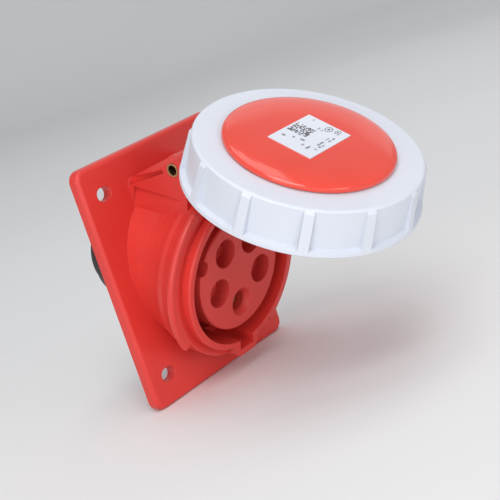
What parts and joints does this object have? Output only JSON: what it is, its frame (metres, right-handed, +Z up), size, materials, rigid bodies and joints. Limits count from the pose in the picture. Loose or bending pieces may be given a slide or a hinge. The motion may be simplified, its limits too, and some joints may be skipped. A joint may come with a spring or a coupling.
{
  "type": "industrial panel socket",
  "caption": "Red flanged round power socket for panel mounting, angled downwards, with a hinged lid held open and a white bayonet locking ring.",
  "frame": {"origin": "centre of the four fixing slots on the flange's back face", "axes": "+Y out of the flange's back towards the panel, so the socket faces -Y; +X to the right seen from the front; +Z up"},
  "size_m": [0.0986, 0.1682, 0.121],
  "materials": {
    "housing_red": "satin",
    "insert_red": "satin",
    "cover_red": "gloss",
    "ring_white": "satin",
    "black_plastic": "satin",
    "seal_rubber": "matte",
    "contact_brass": "satin",
    "pin_brass": "satin",
    "screw_steel": "satin",
    "label_film": "satin"
  },
  "bodies": {
    "base": {"housing": "housing_red", "flange_gasket": "seal_rubber", "contact_insert": "insert_red", "insert_seal": "seal_rubber", "terminal_block": "black_plastic", "contact_l1": "contact_brass", "contact_l2": "contact_brass", "contact_l3": "contact_brass", "contact_n": "contact_brass", "contact_pe": "contact_brass", "contact_clips": "screw_steel", "terminal_screws": "screw_steel", "insert_screws": "screw_steel", "block_screws": "screw_steel", "hinge_pin": "pin_brass"},
    "lid": {"lid_body": "housing_red", "lid_seal": "seal_rubber", "lid_cover": "cover_red", "label_plate": "label_film"},
    "ring": {"bayonet_ring": "ring_white"}
  },
  "joints": [
    {"name": "lid_hinge", "type": "hinge", "parent": "base", "child": "lid", "pos_m": [0, -0.03434, 0.04399], "axis": [1, 0, 0], "range_deg": [0, 75.8]},
    {"name": "ring_turn", "type": "hinge", "parent": "lid", "child": "ring", "pos_m": [0, -0.09344, 0.04189], "axis": [0, -0.5476, 0.8368], "range_deg": [-32, 0]}
  ]
}
